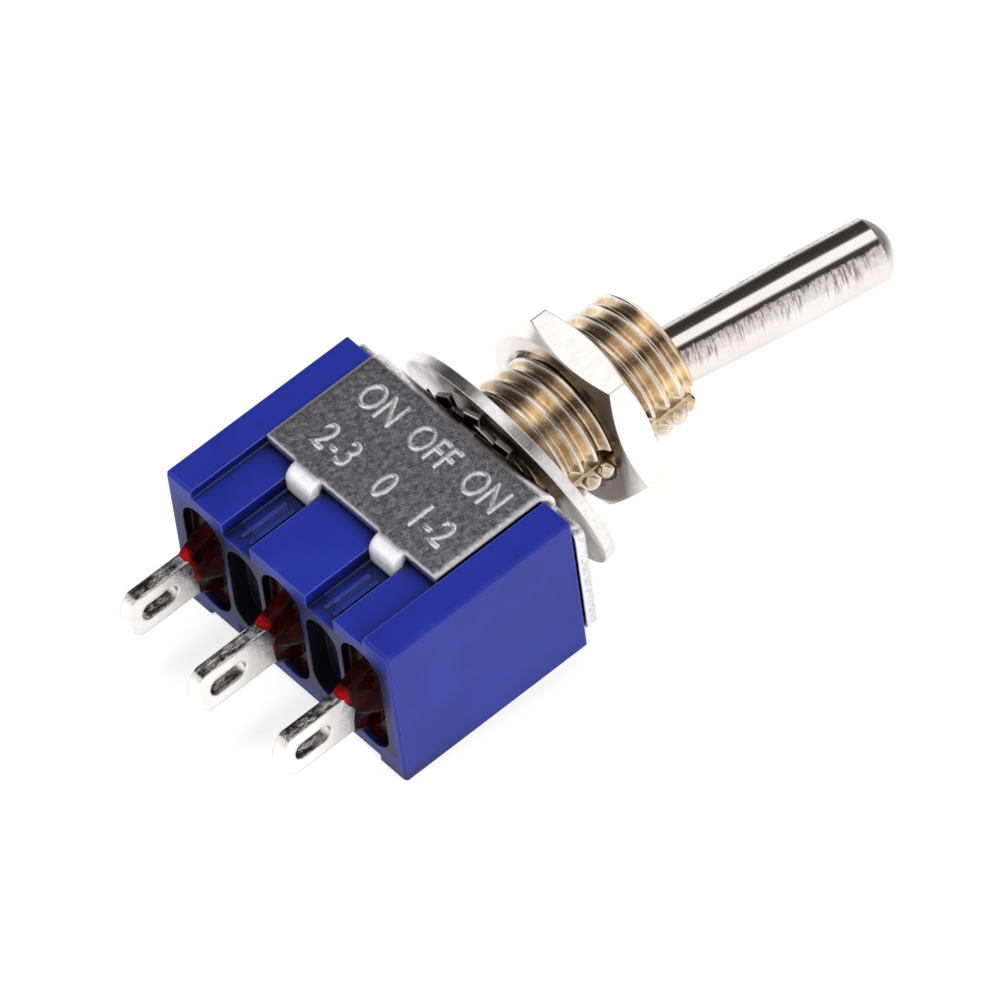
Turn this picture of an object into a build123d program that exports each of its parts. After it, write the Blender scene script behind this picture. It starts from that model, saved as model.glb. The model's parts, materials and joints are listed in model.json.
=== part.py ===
from build123d import *
import math
import os

# A miniature three-position toggle switch, lying on its side as it rests on a
# table. Every piece is built upright: the origin is on the bushing's axis at
# the top face of the frame plate, +Z runs along the bushing to the lever, +X
# along the row of terminals, and -Y points at the stamped wall of the frame
# that faces up. lay_down() then turns the whole switch onto its side.
# All sizes are in millimetres.

# ---- moulded case ----
case_length = 13.2
case_width = 7.85
case_height = 9.4
case_edge_radius = 0.15
case_rim_chamfer = 0.12
land_height = 0.15
land_inset = 0.5
rail_width = 1.5
recess_depth = 0.45
block_width = 3.3
groove_width = 1.65
groove_depth = 0.73
rib_width = 0.16
rib_height = 0.12
rib_spacing = 0.5
rib_end_gap = 0.5
cavity_length = 10.4
cavity_width = 4.4
floor_thickness = 2.55
well_width = 2.3
well_length = 5.9
well_depth = 0.9
web_thickness = 0.25
pit_length = 4.7
pit_depth = 0.85

# ---- frame plate ----
plate_thickness = 0.45
plate_overhang = 0.05
ear_half_width = 3.05
ear_corner_radius = 0.4
wall_drop = 6.1
wall_side_gap = 0.1
wall_clearance = 0.175
bend_radius = 0.8
tab_side_gap = 0.075
tab_end_gap = 0.1
tab_hook_gap = 0.05
tab_bend_radius = 0.65

# ---- bushing ----
bushing_radius = 3.0
bushing_height = 9.0
bushing_chamfer = 0.3
bushing_neck_radius = 2.7
staked_flange_thickness = 0.5
flange_clearance = 0.1
keyway_width = 1.1
keyway_depth = 0.58
throat_radius = 1.6
throat_length = 0.3
mouth_radius = 2.15
pin_slot_radius = 2.4

# ---- toggle lever, measured from its pivot ----
pivot_height = 4.85
ball_radius = 2.0
ball_clearance = 0.05
lever_reach = 14.75
lever_root_radius = 1.2
lever_end_radius = 1.4
lever_taper_end = 10.4
lever_dome_height = 0.75
shank_radius = 1.1
shank_reach = 4.2
spring_bore_radius = 0.8
spring_bore_top = 0.9
lever_throw = 10.0

# ---- pivot pin, spring and plunger ----
pin_radius = 0.4
pin_clearance = 0.02
pin_end_gap = 0.05
pin_chamfer = 0.08
plunger_clearance = 0.05
plunger_top_reach = 2.7
plunger_tip_radius = 0.55
plunger_taper_length = 0.9
tip_gap = 0.05
wire_size = 0.22
spring_turns = 3.0
spring_end_gap = 0.03

# ---- contact rocker and contacts ----
rocker_throw = 7.0
rocker_length = 9.2
rocker_width = 2.9
rocker_dish_height = 0.63
rocker_dish_half = 2.0
rocker_wing_start = 3.2
rocker_strip = 0.4
rocker_foot_half = 0.9
rocker_end_height = 0.42
ear_thickness = 0.3
ear_length = 1.1
ear_drop = 0.55
ear_rise = 0.3
ear_gap = 0.05
contact_reach = 4.0
moving_contact_radius = 0.6
moving_contact_height = 0.3
moving_contact_dome = 1.5
fixed_contact_radius = 0.7
fixed_contact_height = 0.3
fixed_contact_chamfer = 0.07
contact_gap = 0.03
fulcrum_gap = 0.04

# ---- terminals and their seals ----
terminal_pitch = 4.7
terminal_thickness = 0.6
terminal_width = 2.2
terminal_fit = 0.02
tongue_thickness = 0.45
tongue_tip = 3.25
lug_reach = {"left": 4.25, "common": 4.8, "right": 4.5}
lug_round_depth = 0.55
lug_corner_radius = 0.35
eye_width = 0.95
eye_length = 1.85
eye_from_tip = 1.6
seal_recess = 0.15
meniscus_foot = 0.45
meniscus_top = 0.09
meniscus_height = 1.05

# ---- hardware on the bushing ----
star_outer_radius = 4.15
star_ring_radius = 3.6
star_bore_radius = 3.12
star_thickness = 0.25
star_teeth = 14
star_tooth_width = 0.72
star_twist = 14.0
washer_radius = 5.5
washer_thickness = 0.5
washer_bore_radius = 3.2
washer_tilt = 14.0
washer_key_width = 0.9
washer_key_gap = 0.12
nut_across_flats = 8.0
nut_thickness = 1.6
nut_height = 4.39
nut_turn = 7.5
nut_chamfer_radius = 3.9
nut_chamfer_angle = 30.0
nut_clearance = 0.04
nut_bore_chamfer = 0.2

# ---- how far a cutting block runs on past the face that it opens ----
overcut = 1.0

# ---- places that follow from the sizes ----
case_top = -(plate_thickness + land_height)
case_bottom = case_top - case_height
recess_face = case_width / 2 - recess_depth
groove_face = recess_face - groove_depth
groove_centre = block_width / 2 + groove_width / 2
tab_drop = wall_drop + tab_bend_radius
shoulder = -tab_drop + plate_thickness + tab_hook_gap
cavity_floor = case_bottom + floor_thickness
rail_face = case_length / 2 - rail_width
wall_inner = recess_face + wall_clearance
wall_outer = wall_inner + plate_thickness
wall_half = rail_face - wall_side_gap
bore_radius = ball_radius + ball_clearance
flange_bottom = -(plate_thickness + staked_flange_thickness)
plunger_radius = spring_bore_radius - plunger_clearance
tongue_top = cavity_floor + tongue_thickness
fixed_contact_top = tongue_top + fixed_contact_height
throw_sine = math.sin(math.radians(rocker_throw))
throw_cosine = math.cos(math.radians(rocker_throw))
dome_centre = rocker_end_height - moving_contact_height + moving_contact_dome
fulcrum = (fixed_contact_top + contact_gap + moving_contact_dome
           + contact_reach * throw_sine - dome_centre * throw_cosine)
tip_centre = pivot_height - fulcrum - rocker_dish_height - tip_gap - plunger_tip_radius
throw_ratio = rocker_throw / lever_throw
dish_radius = tip_centre / (1 + 2 * throw_ratio) + plunger_tip_radius
tilt_sine = math.sin(math.radians(washer_tilt))
tilt_cosine = math.cos(math.radians(washer_tilt))
tilt_tangent = tilt_sine / tilt_cosine
star_half = (star_tooth_width * math.sin(math.radians(star_twist))
             + star_thickness * math.cos(math.radians(star_twist))) / 2
washer_seat = 2 * star_half + star_outer_radius * tilt_tangent
washer_shift = washer_thickness / 2 * tilt_sine


def box_between(x0, x1, y0, y1, z0, z1):
    """A block given by its faces."""
    block = Box(x1 - x0, y1 - y0, z1 - z0)
    return Pos((x0 + x1) / 2, (y0 + y1) / 2, (z0 + z1) / 2) * block


def cylinder_between(radius, z0, z1):
    """A round bar along Z given by its end heights."""
    return Pos(0, 0, (z0 + z1) / 2) * Cylinder(radius, z1 - z0)


def oval_prism(width, length, z0, z1):
    """A slot-shaped prism, long way along Y, centred on the axis."""
    outline = Rot(0, 0, 90) * SlotOverall(length, width)
    return Pos(0, 0, z0) * extrude(outline, z1 - z0)


def both_sides(piece):
    """The piece and its mirror image on the other long side."""
    return piece + mirror(piece, Plane.XZ)


def case_grooves():
    """The two grooves in one long face that the frame's tabs lock into."""
    grooves = []
    for side in (-1, 1):
        x = side * groove_centre
        groove = box_between(
            x - groove_width / 2, x + groove_width / 2,
            -case_width, -groove_face,
            case_bottom - overcut, shoulder,
        )
        grooves.append(groove)
    return grooves


def groove_ribs():
    """Fine raised ribs along the floor of each groove."""
    ribs = []
    rib_top = -tab_drop - rib_end_gap
    for side in (-1, 1):
        for step in (-1, 1):
            x = side * groove_centre + step * rib_spacing / 2
            rib = box_between(
                x - rib_width / 2, x + rib_width / 2,
                -(groove_face + rib_height), -groove_face,
                case_bottom + rib_end_gap, rib_top,
            )
            ribs.append(rib)
    return ribs


def case_shell():
    """The outer block with the recess between its rails, before the grooves."""
    half = case_length / 2
    depth = case_width / 2
    block = box_between(-half, half, -depth, depth, case_bottom, case_top)
    block = fillet(block.edges().filter_by(Axis.Z), case_edge_radius)
    block = chamfer(block.faces().sort_by(Axis.Z)[0].edges(), case_rim_chamfer)
    recess = box_between(
        -rail_face, rail_face, -depth - overcut, -recess_face,
        case_bottom - overcut, case_top + overcut,
    )
    land = box_between(
        -half + land_inset, half - land_inset,
        -recess_face + land_inset / 2, recess_face - land_inset / 2,
        case_top, -plate_thickness,
    )
    return block - both_sides(recess) + land


def make_case():
    """Moulded housing: rails, recesses, tab grooves, wells, pits and cavity."""
    case = case_shell()
    for groove in case_grooves():
        case -= both_sides(groove)
    for rib in groove_ribs():
        case += both_sides(rib)
    case -= box_between(
        -cavity_length / 2, cavity_length / 2, -cavity_width / 2, cavity_width / 2,
        cavity_floor, overcut,
    )
    case -= cylinder_between(
        bushing_radius + flange_clearance, flange_bottom - flange_clearance, overcut
    )
    well = oval_prism(
        well_width, well_length, case_bottom - overcut, case_bottom + well_depth
    )
    slot_x = terminal_thickness / 2 + terminal_fit
    slot_y = terminal_width / 2 + terminal_fit
    slot = box_between(
        -slot_x, slot_x, -slot_y, slot_y, case_bottom, cavity_floor + overcut
    )
    for x in (-terminal_pitch, 0, terminal_pitch):
        case -= Pos(x, 0, 0) * well
        case -= Pos(x, 0, 0) * slot
    pit_width = terminal_pitch - well_width - 2 * web_thickness
    pit = oval_prism(
        pit_width, pit_length, case_bottom - overcut, case_bottom + pit_depth
    )
    for x in (-terminal_pitch / 2, terminal_pitch / 2):
        case -= Pos(x, 0, 0) * pit
    return case


def frame_tab():
    """One tab: the wall runs on below its edge and bends in under the shoulder."""
    half = groove_width / 2 - tab_side_gap
    tip = -(groove_face + tab_end_gap)
    outer = box_between(-half, half, -wall_outer, tip, -tab_drop, -wall_drop + tab_bend_radius)
    bend = outer.edges().filter_by(Axis.X).group_by(Axis.Z)[0].sort_by(Axis.Y)[0]
    outer = fillet(bend, tab_bend_radius)
    inner = box_between(
        -half - overcut, half + overcut, -wall_inner, tip + overcut,
        -tab_drop + plate_thickness, -wall_drop + tab_bend_radius + overcut,
    )
    inner_bend = inner.edges().filter_by(Axis.X).group_by(Axis.Z)[0].sort_by(Axis.Y)[0]
    inner = fillet(inner_bend, tab_bend_radius - plate_thickness)
    return outer - inner


def make_frame_plate():
    """Stamped steel cover: plate, two bent walls and four locking tabs."""
    plate = extrude(
        RectangleRounded(
            case_length + 2 * plate_overhang, 2 * ear_half_width, ear_corner_radius
        ),
        -plate_thickness,
    )
    outer = box_between(-wall_half, wall_half, -wall_outer, wall_outer, -wall_drop, 0)
    bends = outer.edges().filter_by(Axis.X).group_by(Axis.Z)[-1]
    outer = fillet(bends, bend_radius)
    inner = box_between(
        -wall_half - overcut, wall_half + overcut, -wall_inner, wall_inner,
        -wall_drop - overcut, -plate_thickness,
    )
    inner_bends = inner.edges().filter_by(Axis.X).group_by(Axis.Z)[-1]
    inner = fillet(inner_bends, bend_radius - plate_thickness)
    frame = outer - inner + plate
    for side in (-1, 1):
        frame += both_sides(Pos(side * groove_centre, 0, 0) * frame_tab())
    return frame - cylinder_between(bushing_neck_radius, -overcut, overcut)


def bushing_bore():
    """Bore from below, ball seat, throat and flared mouth as one solid."""
    seat_rise = math.sqrt(bore_radius ** 2 - throat_radius ** 2)
    throat = pivot_height + seat_rise
    with BuildPart() as bore:
        with BuildSketch(Plane.XZ):
            with BuildLine():
                Polyline(
                    (0, throat),
                    (0, flange_bottom - overcut),
                    (bore_radius, flange_bottom - overcut),
                    (bore_radius, pivot_height),
                )
                RadiusArc(
                    (bore_radius, pivot_height), (throat_radius, throat), -bore_radius
                )
                Line((throat_radius, throat), (0, throat))
            make_face()
            with BuildLine():
                Polyline(
                    (0, throat),
                    (throat_radius, throat),
                    (throat_radius, throat + throat_length),
                    (mouth_radius, bushing_height),
                    (mouth_radius, bushing_height + overcut),
                    (0, bushing_height + overcut),
                    close=True,
                )
            make_face()
        revolve(axis=Axis.Z)
    return bore.part


def pin_slots():
    """Two slots inside the bore that guide the ends of the pivot pin."""
    half = pin_radius + pin_clearance
    slot = box_between(
        -half, half, -pin_slot_radius, pin_slot_radius,
        flange_bottom - overcut, pivot_height,
    )
    ends = Pos(0, 0, pivot_height) * Rot(90, 0, 0) * Cylinder(half, 2 * pin_slot_radius)
    return slot + ends


def make_bushing():
    """Mounting bushing with its keyway, ball seat and staked flange."""
    body = cylinder_between(bushing_radius, 0, bushing_height)
    body = chamfer(body.faces().sort_by(Axis.Z)[-1].edges(), bushing_chamfer)
    body += cylinder_between(bushing_neck_radius, flange_bottom, 0)
    body += cylinder_between(bushing_radius, flange_bottom, -plate_thickness)
    body -= bushing_bore()
    body -= pin_slots()
    body -= box_between(
        bushing_radius - keyway_depth, bushing_radius + overcut,
        -keyway_width / 2, keyway_width / 2, 0, bushing_height + overcut,
    )
    return body


def on_pivot(piece, angle=lever_throw):
    """Stand a piece that is drawn about the pivot on the pivot, tilted."""
    return Pos(0, 0, pivot_height) * Rot(0, angle, 0) * piece


def make_toggle_lever():
    """Turned lever: domed handle, pivot ball and a bored shank below it."""
    neck_rise = math.sqrt(ball_radius ** 2 - lever_root_radius ** 2)
    shank_rise = math.sqrt(ball_radius ** 2 - shank_radius ** 2)
    side_end = lever_reach - lever_dome_height
    dome_radius = (lever_end_radius ** 2 + lever_dome_height ** 2) / (2 * lever_dome_height)
    with BuildPart() as lever:
        with BuildSketch(Plane.XZ):
            with BuildLine():
                Line((0, -shank_reach), (shank_radius, -shank_reach))
                Line((shank_radius, -shank_reach), (shank_radius, -shank_rise))
                ThreePointArc(
                    (shank_radius, -shank_rise), (ball_radius, 0), (lever_root_radius, neck_rise)
                )
                Line((lever_root_radius, neck_rise), (lever_end_radius, lever_taper_end))
                Line((lever_end_radius, lever_taper_end), (lever_end_radius, side_end))
                RadiusArc((lever_end_radius, side_end), (0, lever_reach), -dome_radius)
                Line((0, lever_reach), (0, -shank_reach))
            make_face()
        revolve(axis=Axis.Z)
    body = lever.part
    body -= cylinder_between(
        spring_bore_radius, -shank_reach - overcut, -spring_bore_top
    )
    body -= Rot(90, 0, 0) * Cylinder(pin_radius, 2 * (ball_radius + overcut))
    return on_pivot(body)


def make_pivot_pin():
    """Cross pin through the ball."""
    half = pin_slot_radius - pin_end_gap
    pin = Rot(90, 0, 0) * Cylinder(pin_radius, 2 * half)
    pin = chamfer(pin.edges().filter_by(GeomType.CIRCLE), pin_chamfer)
    return on_pivot(pin)


def make_plunger_tip():
    """Nylon plunger that presses on the rocker."""
    taper_top = -tip_centre + plunger_taper_length
    stem = cylinder_between(plunger_radius, taper_top, -plunger_top_reach)
    taper = Pos(0, 0, (taper_top - tip_centre) / 2) * Cone(
        plunger_tip_radius, plunger_radius, plunger_taper_length
    )
    ball = Pos(0, 0, -tip_centre) * Sphere(plunger_tip_radius)
    return on_pivot(stem + taper + ball)


def make_plunger_spring():
    """Square-wire coil spring between the blind end of the bore and the plunger."""
    coil_radius = plunger_radius - wire_size / 2
    room = plunger_top_reach - spring_bore_top
    end_room = wire_size / 2 + spring_end_gap
    height = room - 2 * end_room
    path = Helix(height / spring_turns, height, coil_radius)
    section = Plane(origin=path @ 0, z_dir=path % 0) * Rectangle(wire_size, wire_size)
    coil = sweep(section, path, is_frenet=True)
    foot = -plunger_top_reach + end_room
    return on_pivot(Pos(0, 0, foot) * coil)


def rocker_outline():
    """Side view of the rocker: dished middle, drooping wings, flat ends."""
    half = rocker_length / 2
    rim = rocker_dish_height + dish_radius - math.sqrt(
        dish_radius ** 2 - rocker_dish_half ** 2
    )
    end_top = rocker_end_height + rocker_strip
    with BuildSketch(Plane.XZ) as side_view:
        with BuildLine():
            ThreePointArc(
                (-rocker_dish_half, rim), (0, rocker_dish_height), (rocker_dish_half, rim)
            )
            Polyline(
                (rocker_dish_half, rim),
                (rocker_wing_start, end_top),
                (half, end_top),
                (half, rocker_end_height),
                (rocker_wing_start, rocker_end_height),
                (rocker_dish_half, rim - rocker_strip),
                (rocker_foot_half, 0),
                (-rocker_foot_half, 0),
                (-rocker_dish_half, rim - rocker_strip),
                (-rocker_wing_start, rocker_end_height),
                (-half, rocker_end_height),
                (-half, end_top),
                (-rocker_wing_start, end_top),
                (-rocker_dish_half, rim),
            )
        make_face()
    return side_view.sketch


def on_fulcrum(piece):
    """Set a piece that is drawn about the fulcrum on it, at its rest tilt."""
    return Pos(0, 0, fulcrum) * Rot(0, -rocker_throw, 0) * piece


def make_contact_rocker():
    """See-saw contact carrier with ears astride the common terminal."""
    rocker = extrude(rocker_outline(), rocker_width / 2, both=True)
    ear_inner = terminal_width / 2 + ear_gap
    ear = box_between(
        -ear_length / 2, ear_length / 2,
        ear_inner, ear_inner + ear_thickness,
        -ear_drop, ear_rise,
    )
    ear = fillet(ear.edges().filter_by(Axis.Y).group_by(Axis.Z)[0], ear_thickness)
    rocker += both_sides(ear)
    groove_radius = terminal_thickness / 2 + fulcrum_gap
    groove = Rot(90, 0, 0) * Cylinder(groove_radius, 2 * ear_inner)
    return on_fulcrum(rocker - groove)


def make_rocker_contact(side):
    """Domed silver button under one end of the rocker."""
    button = Pos(0, 0, rocker_end_height - moving_contact_height / 2) * Cylinder(
        moving_contact_radius, moving_contact_height
    )
    button &= Pos(0, 0, dome_centre) * Sphere(moving_contact_dome)
    return on_fulcrum(Pos(side * contact_reach, 0, 0) * button)


def make_fixed_contact(side):
    """Flat silver button on the tongue of an end terminal."""
    button = cylinder_between(fixed_contact_radius, tongue_top, fixed_contact_top)
    rim = button.faces().sort_by(Axis.Z)[-1].edges()
    button = chamfer(rim, fixed_contact_chamfer)
    return Pos(side * contact_reach, 0, 0) * button


def lug_outline(reach):
    """Front view of a lug: straight sides and a rounded tip, below the floor."""
    half = terminal_width / 2
    tip = case_bottom - reach
    shoulder_z = tip + lug_round_depth
    with BuildSketch(Plane.YZ) as front_view:
        with BuildLine():
            Polyline(
                (half, shoulder_z), (half, cavity_floor), (-half, cavity_floor),
                (-half, shoulder_z),
            )
            ThreePointArc((-half, shoulder_z), (0, tip), (half, shoulder_z))
        make_face()
        corners = front_view.vertices().sort_by(Axis.Z)[:2]
        fillet(corners, lug_corner_radius)
        with Locations((0, tip + eye_from_tip)):
            SlotOverall(eye_length, eye_width, rotation=90, mode=Mode.SUBTRACT)
    return front_view.sketch


def make_terminal(reach):
    """Solder lug with its straight stem up to the floor of the cavity."""
    return extrude(lug_outline(reach), terminal_thickness / 2, both=True)


def make_end_terminal(side, reach):
    """Outer terminal: its head is bent inward into the contact's tongue."""
    stem = Pos(side * terminal_pitch, 0, 0) * make_terminal(reach)
    outer = terminal_pitch + terminal_thickness / 2
    tongue = box_between(
        min(side * tongue_tip, side * outer), max(side * tongue_tip, side * outer),
        -terminal_width / 2, terminal_width / 2, cavity_floor, tongue_top,
    )
    return stem + tongue


def make_common_terminal():
    """Middle terminal: its rounded head is the rocker's fulcrum."""
    half = terminal_thickness / 2
    head = box_between(
        -half, half, -terminal_width / 2, terminal_width / 2, cavity_floor, fulcrum
    )
    crest = Pos(0, 0, fulcrum) * Rot(90, 0, 0) * Cylinder(half, terminal_width)
    return make_terminal(lug_reach["common"]) + head + crest


def make_terminal_seal(x, terminal):
    """Potting resin that fills a well and creeps up the lug."""
    seal_face = case_bottom + seal_recess
    seal = oval_prism(well_width, well_length, seal_face, case_bottom + well_depth)
    foot = Rectangle(
        terminal_thickness + 2 * meniscus_foot, terminal_width + 2 * meniscus_foot
    )
    top = Rectangle(
        terminal_thickness + 2 * meniscus_top, terminal_width + 2 * meniscus_top
    )
    collar = loft([Pos(0, 0, seal_face - meniscus_height) * top, Pos(0, 0, seal_face) * foot])
    return Pos(x, 0, 0) * (seal + collar) - terminal


def make_lock_washer():
    """Star washer with twisted teeth, on the frame plate."""
    ring = cylinder_between(star_ring_radius, -star_thickness / 2, star_thickness / 2)
    tooth_length = star_outer_radius - star_bore_radius
    tooth = Box(tooth_length, star_tooth_width, star_thickness)
    tooth = Pos(star_bore_radius + tooth_length / 2, 0, 0) * Rot(star_twist, 0, 0) * tooth
    for index in range(star_teeth):
        ring += Rot(0, 0, (index + 0.5) * 360 / star_teeth) * tooth
    ring -= cylinder_between(star_bore_radius, -overcut, overcut)
    return Pos(0, 0, star_half) * ring


def make_locating_washer():
    """Keyed washer, cocked on the bushing with one rim on the star washer."""
    disc = cylinder_between(washer_radius, 0, washer_thickness)
    disc -= cylinder_between(washer_bore_radius, -overcut, washer_thickness + overcut)
    key_tip = bushing_radius - keyway_depth + washer_key_gap
    key = box_between(
        key_tip, washer_bore_radius + washer_thickness,
        -washer_key_width / 2, washer_key_width / 2, 0, washer_thickness,
    )
    return Pos(0, washer_shift, washer_seat) * Rot(washer_tilt, 0, 0) * (disc + key)


def make_hex_nut():
    """Hexagon nut, chamfered on both faces, part way up the bushing."""
    hexagon = RegularPolygon(nut_across_flats / 2, 6, major_radius=False)
    nut = extrude(hexagon, nut_thickness)
    corner = nut_across_flats / math.sqrt(3) + nut_clearance
    slope = math.tan(math.radians(nut_chamfer_angle))
    fall = (corner - nut_chamfer_radius) * slope
    with BuildPart() as envelope:
        with BuildSketch(Plane.XZ):
            with BuildLine():
                Polyline(
                    (0, 0), (nut_chamfer_radius, 0), (corner, fall),
                    (corner, nut_thickness - fall),
                    (nut_chamfer_radius, nut_thickness), (0, nut_thickness),
                    close=True,
                )
            make_face()
        revolve(axis=Axis.Z)
    nut &= envelope.part
    nut -= cylinder_between(
        bushing_radius + nut_clearance, -overcut, nut_thickness + overcut
    )
    rims = nut.edges().filter_by(GeomType.CIRCLE).sort_by(SortBy.RADIUS)[:2]
    nut = chamfer(rims, nut_bore_chamfer)
    return Pos(0, 0, nut_height) * Rot(0, 0, nut_turn) * nut


def resting_lean():
    """Lean of the bushing when the case's edge and the washer's rim touch down.

    The case touches along the lower edge of its back, just above the chamfered
    rim, and the cocked washer with its rim, so both are equally far along the
    direction that points down.
    """
    rim_y = washer_shift + washer_radius * tilt_cosine
    rim_z = washer_seat + washer_radius * tilt_sine
    rise = rim_z - (case_bottom + case_rim_chamfer)
    run = rim_y - case_width / 2
    return math.degrees(math.atan2(run, rise))


def lay_down(piece):
    """Turn an upright piece onto its side, with the stamped wall facing up."""
    return Rot(resting_lean() - 90, 0, 0) * piece


def build_pieces():
    """Every piece of the switch by name, upright."""
    left = make_end_terminal(-1, lug_reach["left"])
    common = make_common_terminal()
    right = make_end_terminal(1, lug_reach["right"])
    return {
        "case": make_case(),
        "frame_plate": make_frame_plate(),
        "bushing": make_bushing(),
        "toggle_lever": make_toggle_lever(),
        "pivot_pin": make_pivot_pin(),
        "plunger_spring": make_plunger_spring(),
        "plunger_tip": make_plunger_tip(),
        "contact_rocker": make_contact_rocker(),
        "rocker_contact_left": make_rocker_contact(-1),
        "rocker_contact_right": make_rocker_contact(1),
        "fixed_contact_left": make_fixed_contact(-1),
        "fixed_contact_right": make_fixed_contact(1),
        "terminal_left": left,
        "terminal_common": common,
        "terminal_right": right,
        "terminal_seal_left": make_terminal_seal(-terminal_pitch, left),
        "terminal_seal_common": make_terminal_seal(0, common),
        "terminal_seal_right": make_terminal_seal(terminal_pitch, right),
        "lock_washer": make_lock_washer(),
        "locating_washer": make_locating_washer(),
        "hex_nut": make_hex_nut(),
    }


os.makedirs("parts", exist_ok=True)
for name, piece in build_pieces().items():
    export_step(lay_down(piece), f"parts/{name}.step")
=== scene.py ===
import bmesh
import bpy
import json
import math
import numpy as np
from mathutils import Matrix, Vector


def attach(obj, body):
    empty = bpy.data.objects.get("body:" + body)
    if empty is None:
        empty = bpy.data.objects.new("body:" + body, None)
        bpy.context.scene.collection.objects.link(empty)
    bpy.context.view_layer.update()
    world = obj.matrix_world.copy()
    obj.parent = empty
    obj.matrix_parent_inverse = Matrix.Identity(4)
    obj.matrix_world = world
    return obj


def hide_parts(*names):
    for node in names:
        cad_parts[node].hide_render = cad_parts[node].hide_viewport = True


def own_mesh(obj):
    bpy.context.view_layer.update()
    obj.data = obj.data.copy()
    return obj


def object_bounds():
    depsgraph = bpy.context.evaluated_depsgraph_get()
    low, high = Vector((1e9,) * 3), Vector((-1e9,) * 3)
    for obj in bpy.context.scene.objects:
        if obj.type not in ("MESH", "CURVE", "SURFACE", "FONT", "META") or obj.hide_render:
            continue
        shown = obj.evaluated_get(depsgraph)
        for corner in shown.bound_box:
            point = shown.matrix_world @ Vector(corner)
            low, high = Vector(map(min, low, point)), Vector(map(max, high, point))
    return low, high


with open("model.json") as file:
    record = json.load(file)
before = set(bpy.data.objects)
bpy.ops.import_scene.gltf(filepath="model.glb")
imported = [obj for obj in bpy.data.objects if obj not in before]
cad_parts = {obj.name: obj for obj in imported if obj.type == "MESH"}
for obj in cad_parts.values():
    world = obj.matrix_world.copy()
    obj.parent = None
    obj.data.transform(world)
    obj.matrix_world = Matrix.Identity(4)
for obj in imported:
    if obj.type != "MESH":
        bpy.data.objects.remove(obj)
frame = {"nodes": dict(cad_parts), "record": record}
cad_box = [list(corner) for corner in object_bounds()]

# A miniature toggle switch lying on its side. New pieces are drawn upright in
# millimetres, with the origin on the bushing's axis at the top of the frame
# plate, +Z along the bushing and -Y towards the stamped wall, and stand() lays
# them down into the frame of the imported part.
MM = 0.001
MOUNTS = {mount["name"]: mount for mount in frame["record"]["mounts"]}
BUSHING_AXIS = Vector(MOUNTS["panel_bushing"]["axis"])
LEAN = math.atan2(BUSHING_AXIS.z, BUSHING_AXIS.y)

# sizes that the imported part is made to
BUSHING_RADIUS = MOUNTS["panel_bushing"]["dims"]["r_mm"]
BUSHING_HEIGHT = MOUNTS["panel_bushing"]["dims"]["length_mm"]
THREAD_PITCH = 0.75
KEYWAY_WIDTH = 1.1
KEYWAY_FLOOR = BUSHING_RADIUS - 0.58
END_CHAMFER = 0.3
NECK_RADIUS = 2.7
PLATE_THICKNESS = 0.45
FLANGE_BOTTOM = -0.95
BORE_RADIUS = 2.05
PIVOT_HEIGHT = 4.85
THROAT_RADIUS = 1.6
MOUTH_RADIUS = 2.15
LEVER_THROW = math.radians(10.0)
LEVER_WAY = (math.sin(LEVER_THROW), 0, math.cos(LEVER_THROW))
TERMINAL_PITCH = 4.7
TERMINAL_THICKNESS = 0.6
TERMINAL_WIDTH = 2.2
CASE_BOTTOM = -10.0
WELL_WIDTH = 2.3
WELL_LENGTH = 5.9
WELL_DEPTH = 0.9
WALL_FACE = -4.10
WALL_DROP = -6.1

# the visible thread and how finely the bushing is drawn
THREAD_DEPTH = 0.38
ROOT_ROUNDING = 0.12
THREAD_RUN_IN = 0.35
LIP_STEP = (0.03, 0.05)
THROAT_LENGTH = 0.3
THREAD_ROWS = 233
SEAT_ROWS = 8
THREAD_COLUMNS = 220
FLOOR_COLUMNS = 7
FLOOR_DEPTH_SHARE = 0.7
BORE_DEPTH_SHARE = 0.3

# the potting resin's face
RESIN_SUNK = 0.38
RESIN_SWELL = 1.15
LUG_GAP = 0.01
LUG_BEAD_REACH = 0.72
WALL_CREEP_HEIGHT = 0.10
WALL_CREEP_REACH = 0.15
DRIP_HEIGHT = 0.22
DRIP_REACH = 0.17
DRIP_OFFSET = 0.16
RESIN_AROUND = 96
RESIN_ACROSS = 22

# stamped letters: height of a capital, and what counts as one point in them
LEGEND_CAP = 1.35
SAME_POINT = 1e-4

# the camera: lens in millimetres, distance in metres, the rest upright
LENS = 549.4
SENSOR = 36.0
CAMERA_DISTANCE = 0.596
CAMERA_TARGET = (0.9516, 0.5073, 0.2384)
CAMERA_BACK = (0.50753, -0.78665, -0.35156)
CAMERA_UP = (-0.5556, -0.61063, 0.56428)

# the table and the lamps, in metres
FLOOR_HALF = 0.6
FLOOR_GREY = 0.8
SHADOWED_GREY = 0.42
FLOOR_GLOW = 0.70
LAMP_DISTANCE = 0.25

# strip lights and dark gaps between them, by degrees about the part's long axis
# from straight up (towards +X is positive), and how bright each is
STUDIO = [
    (-86, 0.5), (-77, 0.045), (-52, 0.04), (-30, 0.06), (-26, 0.10), (-21, 1.2),
    (10, 1.2), (16, 0.05), (37, 0.05), (49, 0.9), (95, 1.0),
]
END_WALL = (0.95, 0.9, 0.88)
END_WALL_STARTS, END_WALL_FULL = 0.58, 0.76


def stand(points):
    """Upright millimetres to metres in the part's frame: a turn about X by the lean."""
    x, y, z = np.asarray(points, float).T
    return MM * np.stack(
        [
            x,
            y * math.sin(LEAN) + z * math.cos(LEAN),
            -y * math.cos(LEAN) + z * math.sin(LEAN),
        ],
        axis=1,
    )


def way(direction):
    """An upright direction as a unit vector in the part's frame."""
    return Vector(stand([direction])[0]).normalized()


# ---- material helpers ----


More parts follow.
